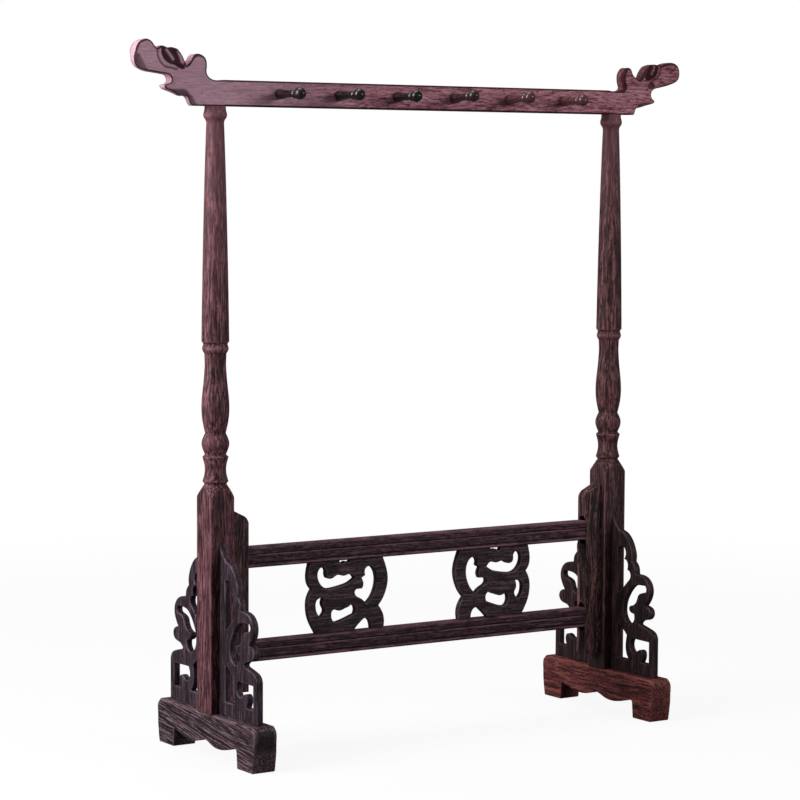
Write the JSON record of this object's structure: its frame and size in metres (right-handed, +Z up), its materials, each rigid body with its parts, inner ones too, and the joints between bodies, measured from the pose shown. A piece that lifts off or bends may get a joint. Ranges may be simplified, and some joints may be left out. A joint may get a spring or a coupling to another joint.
{
  "type": "chinese brush rack",
  "caption": "Free-standing wooden writing-brush rack: carved crossbeam with pegs on turned posts, rails with pierced ornaments, sledge feet with pierced brackets.",
  "frame": {"origin": "on the table, midway between the two posts and between the front and back ends of the feet", "axes": "+X along the crossbeam to the right as seen from the peg side, +Y away from the pegs to the back, +Z up"},
  "size_m": [0.4056, 0.1202, 0.4289],
  "materials": {
    "beam_wood": "dark oiled hardwood, low satin gloss",
    "peg_wood": "dark oiled hardwood, low satin gloss",
    "post_wood": "dark oiled hardwood, low satin gloss",
    "cheek_wood": "dark oiled hardwood, low satin gloss",
    "rail_wood": "dark oiled hardwood, low satin gloss",
    "ornament_wood": "dark oiled hardwood, low satin gloss",
    "bracket_wood": "dark oiled hardwood, low satin gloss",
    "foot_wood": "dark oiled hardwood, low satin gloss"
  },
  "bodies": {
    "frame": {"left_post": "post_wood", "right_post": "post_wood", "left_cheek": "cheek_wood", "right_cheek": "cheek_wood", "upper_rail": "rail_wood", "lower_rail": "rail_wood", "left_ornament": "ornament_wood", "right_ornament": "ornament_wood", "left_front_bracket": "bracket_wood", "left_back_bracket": "bracket_wood", "right_front_bracket": "bracket_wood", "right_back_bracket": "bracket_wood", "left_foot": "foot_wood", "right_foot": "foot_wood"},
    "crossbeam_assembly": {"crossbeam": "beam_wood", "peg_1": "peg_wood", "peg_2": "peg_wood", "peg_3": "peg_wood", "peg_4": "peg_wood", "peg_5": "peg_wood", "peg_6": "peg_wood"}
  },
  "joints": [
    {"name": "crossbeam_lift", "type": "slide", "parent": "frame", "child": "crossbeam_assembly", "axis": [0, 0, 1], "range_m": [0, 0.01]}
  ]
}
